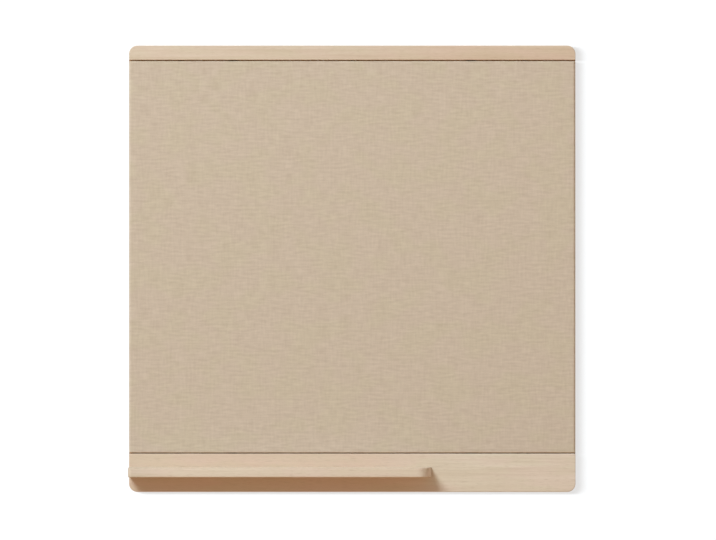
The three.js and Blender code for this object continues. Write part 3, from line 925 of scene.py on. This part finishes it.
# The linen is one sheet. A flat field of cloth is bordered by columns that leave it square to its
# sides and fan out at its corners. Each column goes round the front arris, along the panel's
# edge and round the back arris, and then its flap lies on the back, narrowing to a mitre.
# The cloth's own U and V are X and Z on the field, and run on along each column by arc length.
def makeLinenCover():
    low, high = boxOf("linen_cover")
    low[2] += linen["lowerGap"]
    high[2] -= linen["upperGap"]
    sideArris, endArris, turn = linen["sideArris"], linen["endArris"], linen["backArris"]
    fieldLow = np.array([low[0] + sideArris, low[2] + endArris])
    fieldHigh = np.array([high[0] - sideArris, high[2] - endArris])
    x = np.linspace(fieldLow[0], fieldHigh[0], linen["columns"] + 1)
    z = np.linspace(fieldLow[1], fieldHigh[1], linen["rows"] + 1)
    across, upward = np.meshgrid(x, z)
    depth = low[1] + linen["unevenness"] * swells(across, upward, fieldLow, fieldHigh)
    field = np.stack([across, depth, upward], axis=-1).reshape(-1, 3)
    grids = [(field, gridFaces(len(z), len(x)))]
    flats = [np.stack([across, upward], axis=-1).reshape(-1, 2)]

    # The border's columns in order from the right side's lower end: starting point and direction
    fan = (np.linspace(0, 1, linen["cornerColumns"] + 1) * quarterTurn)[:, None]
    power = linen["cornerPower"]
    spread = np.hstack([np.cos(fan) ** power, np.sin(fan) ** power])
    spread[0], spread[-1] = (1, 0), (0, 1)
    sides = [
        (np.stack([np.full_like(z, x[-1]), z], axis=1), (1, 0), (1, 1), spread),
        (np.stack([x[::-1], np.full_like(x, z[-1])], axis=1), (0, 1), (-1, 1), spread[::-1]),
        (np.stack([np.full_like(z, x[0]), z[::-1]], axis=1), (-1, 0), (-1, -1), spread),
        (np.stack([x, np.full_like(x, z[0])], axis=1), (0, -1), (1, -1), spread[::-1]),
    ]
    starts, ways, corners = [], [], []
    for points, way, sign, corner in sides:
        starts.append(points)
        ways.append(np.tile(way, (len(points), 1)).astype(float))
        starts.append(np.tile(points[-1], (len(corner) - 2, 1)))
        ways.append(corner[1:-1] * sign)
        corners.append(sum(len(group) for group in starts) - len(corner) // 2)
    start, way = np.vstack(starts), np.vstack(ways)
    square = (way ** 2).sum(axis=1)
    unit = way / np.sqrt(square)[:, None]
    arris = (sideArris * way[:, 0] ** 2 + endArris * way[:, 1] ** 2) / square

    # Each ring: how far out, the depth, how far back in, and the way run along the cloth
    angle = np.linspace(0, quarterTurn, linen["arrisRows"] + 1)
    wallEnd = high[1] - turn
    wall = wallEnd - low[1] - arris
    steps = []
    for bend in angle:
        depth = low[1] + arris * (1 - math.cos(bend))
        steps.append((math.sin(bend), depth, 0, arris * bend))
    for share in np.linspace(0, 1, linen["wallRows"] + 1)[1:]:
        steps.append((1, low[1] + arris + share * wall, 0, arris * quarterTurn + share * wall))
    for bend in angle[1:]:
        depth = np.full_like(arris, wallEnd + turn * math.sin(bend))
        run = arris * quarterTurn + wall + turn * bend
        steps.append((1, depth, turn * (1 - math.cos(bend)), run))
    reach = np.array([sideArris, endArris])
    rings, ringFlats = [], []
    for share, depth, back, run in steps:
        flat = start + way * reach * share - unit * back
        rings.append(np.stack([flat[:, 0], depth, flat[:, 1]], axis=1))
        ringFlats.append(start + unit * run[:, None])
    border = np.stack(rings)
    grids.append((border.reshape(-1, 3), gridFaces(len(rings), len(start), True)))
    flats.append(np.stack(ringFlats).reshape(-1, 2))

    # Flaps: straight lines from the last ring to a shorter inner edge
    middle = (fieldLow + fieldHigh) / 2
    half = np.array([high[0] - middle[0], high[2] - middle[1]])
    last, lastFlat = border[-1], ringFlats[-1]
    for number, (_, sideWay, _, _) in enumerate(sides):
        first = corners[number - 1]
        count = (corners[number] - first) % len(start) + 1
        columns = (first + np.arange(count)) % len(start)
        edge, flatEdge = last[columns], lastFlat[columns]
        along, outwards = (1, 0) if sideWay[0] else (0, 1)  # parts of (x, z)
        sign = sideWay[0] + sideWay[1]
        place = edge[:, [0, 2]][:, along] - middle[along]
        place = place / np.abs(place).max()
        under = linen["underlap"] if sideWay[0] else -linen["mitreGap"]
        end = half[along] - linen["hem"] + under
        waves = [np.sin(place * turns + begin) for turns, begin in linen["cutWaves"]]
        hem = linen["hem"] + linen["cutEdge"] * sum(waves) / len(waves)
        share = np.linspace(0, 1, linen["hemRows"] + 1)[:, None]
        target = np.zeros((count, 2))
        target[:, along] = middle[along] + place * end
        target[:, outwards] = middle[outwards] + sign * (half[outwards] - hem)
        flat = edge[None][:, :, [0, 2]] + share[..., None] * (target - edge[:, [0, 2]])[None]
        fromEnd = (1 - np.abs(place)) * half[along]
        lift = np.clip(1 - fromEnd / linen["foldReach"], 0, 1) ** 2 * (0 if sideWay[0] else 1)
        lift = lift * linen["foldLift"] * np.clip(share * 4, 0, 1)
        points = np.stack([flat[..., 0], high[1] + lift, flat[..., 1]], axis=-1)
        grids.append((points.reshape(-1, 3), gridFaces(len(share), count)))
        flapFlat = np.zeros_like(flat)
        flapFlat[..., along] = flat[..., along]
        flapFlat[..., outwards] = flatEdge[None][..., outwards] + sign * share * (hem - turn)
        flats.append(flapFlat.reshape(-1, 2))

    cloth = np.vstack(flats)
    piece = makePiece("linen_skin", grids, linenFinish, ["linen_cover"], (), 60, cloth)
    wallOfCloth = piece.modifiers.new("thickness", "SOLIDIFY")
    wallOfCloth.thickness = linen["thickness"]
    wallOfCloth.offset = -1
    wallOfCloth.use_even_offset = True
    piece.data.polygons.foreach_set("use_smooth", np.ones(len(piece.data.polygons), bool))


makeLinenCover()


# Staples hold the hem: a wire of rounded section, carried from one leg's tip over the crown to
# the other's, at even steps along each flap and each turned a little
staple = {
    "crown": 0.0115,
    "leg": 0.0032,
    "bend": 0.0009,
    "bendSteps": 3,
    "width": 0.0011,
    "height": 0.0006,
    "step": 0.046,
    "fromEdge": 0.0125,
    "fromCorner": 0.036,
    "turnSpread": 0.16,
    "slideSpread": 0.0032,
    "placeSpread": 0.0016,
    "squareness": 0.5,  # of the wire's section, 1 is round
    "columns": 8,
    "seed": 11,
}


def makeStaples():
    low, high = boxOf("linen_cover")
    half, bend = staple["crown"] / 2, staple["bend"]
    top = high[1] + staple["height"] / 2
    corner = arc((half - bend, top - bend), bend, 0, quarterTurn, staple["bendSteps"])
    right = np.vstack([[[half, top - staple["leg"]]], corner])
    path = np.vstack([right, right[::-1] * [-1, 1]])
    ahead = np.gradient(path, axis=0)
    ahead /= np.linalg.norm(ahead, axis=1)[:, None]
    normal = np.stack([ahead[:, 1], -ahead[:, 0]], axis=1)
    angle = (np.arange(staple["columns"]) + 0.5) * 4 * quarterTurn / staple["columns"]
    cosine, sine, power = np.cos(angle), np.sin(angle), staple["squareness"]
    wide = np.sign(cosine) * np.abs(cosine) ** power * staple["width"] / 2
    tall = np.sign(sine) * np.abs(sine) ** power * staple["height"] / 2
    level = path[:, None] + normal[:, None] * tall[None, :, None]
    wide = np.broadcast_to(wide[None, :, None], level.shape[:2] + (1,))
    shape = np.concatenate([level, wide], axis=2)
    faces = plateGrid(shape)[1]
    spread = np.random.default_rng(staple["seed"])
    middle = middleOf("linen_cover")
    keepOut = [boxOf(node) for node in namesLike("keyhole_hanger") + namesLike("joining_plate")]
    grids = []
    for along, sign in ((0, -1), (0, 1), (2, -1), (2, 1)):
        length = high[along] - low[along] - 2 * staple["fromCorner"]
        places = np.linspace(-length / 2, length / 2, int(length / staple["step"]) + 1)
        for place in places:
            slide, shift, turned = spread.uniform(-1, 1, 3)
            place = place + slide * staple["slideSpread"]
            inset = staple["fromEdge"] + shift * staple["placeSpread"]
            turned = turned * staple["turnSpread"] + (0 if along == 0 else quarterTurn)
            edge = high[2 - along] - inset if sign > 0 else low[2 - along] + inset
            place = place + middle[along]
            centre = (place, edge) if along == 0 else (edge, place)
            if any(blocked(centre, box) for box in keepOut):
                continue
            cosine, sine = math.cos(turned), math.sin(turned)
            x = centre[0] + shape[..., 0] * cosine - shape[..., 2] * sine
            z = centre[1] + shape[..., 0] * sine + shape[..., 2] * cosine
            grids.append((np.stack([x, shape[..., 1], z], axis=-1).reshape(-1, 3), faces))
    makePiece("hem_staples", grids, stapleSteel, sharpAngle=50)
    print("staples made:", len(grids))


def blocked(centre, box):
    margin = staple["crown"]
    low, high = box
    inside = low[0] - margin < centre[0] < high[0] + margin
    return inside and low[2] - margin < centre[1] < high[2] + margin


makeStaples()


# Steel plates with round ends: an outline of two half circles, its arrises a little rounded as a
# press leaves them, with the screws' holes cut out of it
plate = {"arris": 0.00025, "arrisSteps": 3, "cornerSteps": 24}
keyhole = {"head": 0.010, "slot": 0.0054, "drop": 0.014, "beyond": 0.001, "steps": 24}


# A keyhole: the slot's round upper end and the head's hole, joined where the circle is as wide as
# the slot
def keyholeCut(x, low, high):
    slot, head, beyond = keyhole["slot"] / 2, keyhole["head"] / 2, keyhole["beyond"]
    meet, halfTurn, steps = math.acos(slot / head), 2 * quarterTurn, keyhole["steps"]
    upper = arc((x, 0), slot, 0, halfTurn, steps)
    lower = arc((x, -keyhole["drop"]), head, halfTurn - meet, 2 * halfTurn + meet, 2 * steps)
    outline = np.vstack([upper, lower])
    rings = plateRings(outline, low - beyond, high + beyond, (0, 0), 1)
    return plateGrid(rings[[0, -1]])


def makePlate(node, screws, cuts, finish):
    low, high = boxOf(node)
    grid = roundedPlate(low, high, [(high[0] - low[0]) / 2] * 4, plate)
    holes = cuts + [screwRoom(screw) for screw in screws]
    makePiece("finished_" + node, [grid], finish, [node], holes)


for side in ("left", "right"):
    for end in ("top", "bottom"):
        joiningScrews = namesLike(f"{end}_joining_screw", side)
        makePlate(f"{end}_joining_plate_{side}", joiningScrews, [], joiningZinc)
    hanger = f"keyhole_hanger_{side}"
    (_, face, _), (_, back, _) = boxOf(hanger)
    key = keyholeCut(middleOf(hanger)[0], face, back)
    makePlate(hanger, namesLike("hanger_screw", side), [key], zinc)
print("plates made")

# Wall pads: turned, with a rounded rim and a shallow dish in the face that meets the wall
pad = {
    "rim": 0.001,
    "rimSteps": 6,
    "dish": 0.0003,
    "dishRadius": 0.0042,
    "dishRows": 8,
    "steps": 64,
}
for node in namesLike("wall_pad"):
    (left, face, _), (right, back, _) = boxOf(node)
    radius, rim = (right - left) / 2, pad["rim"]
    rimArc = arc((radius - rim, back - rim), rim, 0, quarterTurn, pad["rimSteps"])
    dish = np.linspace(1, 0, pad["dishRows"])[:, None]
    hollow = np.hstack([dish * pad["dishRadius"], back - pad["dish"] * (1 - dish ** 2)])
    profile = np.vstack([[[0, face], [radius, face]], rimArc, hollow])
    grid = turnedGrid(profile, middleOf(node), pad["steps"])
    makePiece("finished_" + node, [grid], rubber, [node])

# Dowels: turned, with pressed flutes, a radius drawn in by the cosine of so many times the angle
dowel = {"chamfer": 0.001, "flutes": 16, "fluteDepth": 0.00018, "steps": 96}
for node in namesLike("dowel"):
    (left, _, bottom), (right, _, top) = boxOf(node)
    dowelRadius, bevel = (right - left) / 2, dowel["chamfer"]
    ends = [[0, bottom], [dowelRadius - bevel, bottom], [dowelRadius, bottom + bevel]]
    ends += [[dowelRadius, top - bevel], [dowelRadius - bevel, top], [0, top]]

    def flutes(radius, angle, level):
        depth = dowel["fluteDepth"] * (radius > dowelRadius - bevel / 2)
        return -depth * (1 - np.cos(angle * dowel["flutes"])) / 2

    grid = turnedGrid(np.array(ends), middleOf(node), dowel["steps"], "z", None, flutes)
    makePiece("finished_" + node, [grid], beech, [node])
print("pads and dowels made")

# The nodes whose own shape shows, or lies hidden inside
ownFinishes = dict(softwood, pin_core=softBoard, back_board=hardboard)
for node, finish in ownFinishes.items():
    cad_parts[node].data.materials.clear()
    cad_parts[node].data.materials.append(finish)


# The studio: a white wall, a pale floor, a key lamp from the upper left, a soft lamp that only
# lights the wall, a soft lamp behind, and the sky
studio = {
    "wallReach": 2.2,
    "wallGlow": 0.7,
    "wallColour": (0.1245, 0.134, 0.142),
    # Painted shade on the wall behind the board: its colour, and the rectangles in X and Z, in
    # millimetres, where it lies
    "paintedShadeColour": (0.08, 0.035, 0.012),
    "paintedShadeAreas": [((-370, -645), (370, 95)), ((-375.8, -634), (375.8, 84))],
    "floorDrop": 0.35,
    "floorSize": 14,
    "floorGlow": 0.62,
    "floorGrain": 0.02,
    "floorColours": ((0.80, 0.79, 0.775), (0.84, 0.83, 0.815)),
    "skyUpper": (0.40, 0.385, 0.37),
    "skyLower": (0.60, 0.407, 0.258),
    "skyBlend": 0.4,
}
lamps = {  # way from the aim, distance, size, level, colour, light on the wall
    "key": ((-0.76, -1, 1.17), 9, (4, 4), 0.6, (0.86, 1, 1.08), "EXCLUDE"),
    "wash": ((-0.5, -1, 0.13), 6, (3.9, 0.8), 2.6, (1, 1, 1), "INCLUDE"),
    "rear": ((0.5, 1, 0.7), 5, (2.4, 2.4), 0.55, (1, 1, 1), "EXCLUDE"),
}
black, white = (0, 0, 0), (1, 1, 1)


# A lamp whose light on a white surface that faces the object's front comes out at its level. It
# lights the wall alone, or all but the wall.
def makeLamp(name, wall):
    way, distance, size, level, colour, onWall = lamps[name]
    way = np.array(way) / np.linalg.norm(way)
    data = bpy.data.lights.new(name, "AREA")
    data.shape = "ELLIPSE"
    data.size, data.size_y = size
    data.color = colour
    data.energy = level * (math.pi * distance) ** 2 / abs(way[1])
    lamp = addObject(name, data)
    lamp.location = np.array(view["aim"]) + way * distance
    lamp.rotation_euler = Vector(-way).to_track_quat("-Z", "Y").to_euler()
    group = bpy.data.collections.new(name + "Reach")
    lamp.light_linking.receiver_collection = group
    group.objects.link(wall)
    group.collection_objects[0].light_linking.link_state = onWall


# A flat sheet of the stage
def makeStagePlane(name, corners, material):
    mesh = bpy.data.meshes.new(name)
    mesh.from_pydata(corners, [], [(0, 1, 2, 3)])
    mesh.materials.append(material)
    plane = addObject(name, mesh)
    return plane


# The wall is as bright as the backdrop for the camera, and open from behind. Behind the board,
# where X and Z lie between the corners of either rectangle, it is painted dark brown for the
# camera:
# painted shade for the shadowed wall behind the board, seen through its joints and in the gap at
# its sides.
def wallMaterial():
    fixed = {"Roughness": 1, "Specular IOR Level": 0, "Emission Strength": studio["wallGlow"]}
    wall = Finish("wall", fixed)
    place = wall.place()
    paintedShadeMask = 0
    for corners in studio["paintedShadeAreas"]:
        inside = 1
        for axis, low, high in zip("XZ", *corners):
            along = wall.part(place, axis)
            above = wall.math("GREATER_THAN", along, low)
            inside = inside * above * wall.math("LESS_THAN", along, high)
        paintedShadeMask = wall.math("MAXIMUM", paintedShadeMask, inside)
    body = wall.mixed(paintedShadeMask, studio["wallColour"], studio["paintedShadeColour"])
    seen = wall.mixed(paintedShadeMask, white, studio["paintedShadeColour"])
    glow = wall.mixed(wall.shownRay(), black, seen)
    wall.paint({"Base Color": body, "Emission Color": glow})
    clear = wall.node("ShaderNodeBsdfTransparent", {}, {})
    behind = wall.node("ShaderNodeNewGeometry", {}, {}, "Backfacing")
    shaders = {0: behind, 1: Value(wall, wall.shader.outputs[0]), 2: clear}
    mix = wall.node("ShaderNodeMixShader", {}, shaders)
    wall.feed(wall.tree.nodes["Material Output"].inputs["Surface"], mix)
    return wall.owner


# The floor's glow for the camera makes it as bright as the backdrop outside the shadow
def floorMaterial():
    fixed = {"Roughness": 0.9, "Specular IOR Level": 0.1}
    floor = Finish("floor", {**fixed, "Emission Strength": studio["floorGlow"]})
    tone = floor.mixed(floor.noise(floor.place(), studio["floorGrain"]), *studio["floorColours"])
    glow = floor.mixed(floor.shownRay(), black, white)
    return floor.paint({"Base Color": tone, "Emission Color": glow})


# The sky lights the object with one colour from above and another from below, and shows white
def makeSky():
    sky = Finish("sky", {}, world=True)
    way = sky.node("ShaderNodeTexCoord", {}, {}, "Generated")
    height = sky.band(sky.part(way, "Z"), -studio["skyBlend"], studio["skyBlend"])
    light = sky.mixed(height, studio["skyLower"], studio["skyUpper"])
    bpy.context.scene.world = sky.paint({"Color": sky.mixed(sky.shownRay(), light, white)})


def makeStage():
    reach, bottom = studio["wallReach"], cadBounds[0][2] - studio["floorDrop"]
    corners = [(-reach, 0, bottom), (reach, 0, bottom), (reach, 0, reach), (-reach, 0, reach)]
    wall = makeStagePlane("wall", corners, wallMaterial())
    wall.visible_shadow = wall.visible_diffuse = wall.visible_glossy = False
    wide = studio["floorSize"]
    corners = [(x * wide, y * wide, bottom) for x, y in ((-1, -1), (1, -1), (1, 1), (-1, 1))]
    floor = makeStagePlane("floor", corners, floorMaterial())
    floor.visible_diffuse = False
    return wall


# The camera stands straight in front, at the photograph's distance and width of view. The lamps
# are turned to the aim, the middle of the board's front.
view = {
    "place": (0.0097, -10.027, -0.2772),
    "lens": 299.3,
    "sensor": 36,
    "aim": (0, -0.027, -0.275),
}
wallPlane = makeStage()
makeSky()
for lampName in lamps:
    makeLamp(lampName, wallPlane)
camera = addObject("camera", bpy.data.cameras.new("camera"))
camera.location = view["place"]
camera.rotation_euler = (quarterTurn, 0, 0)
camera.data.lens = view["lens"]
camera.data.sensor_width = view["sensor"]
bpy.context.scene.camera = camera
bpy.context.scene.view_settings.view_transform = "Standard"
print("studio made")
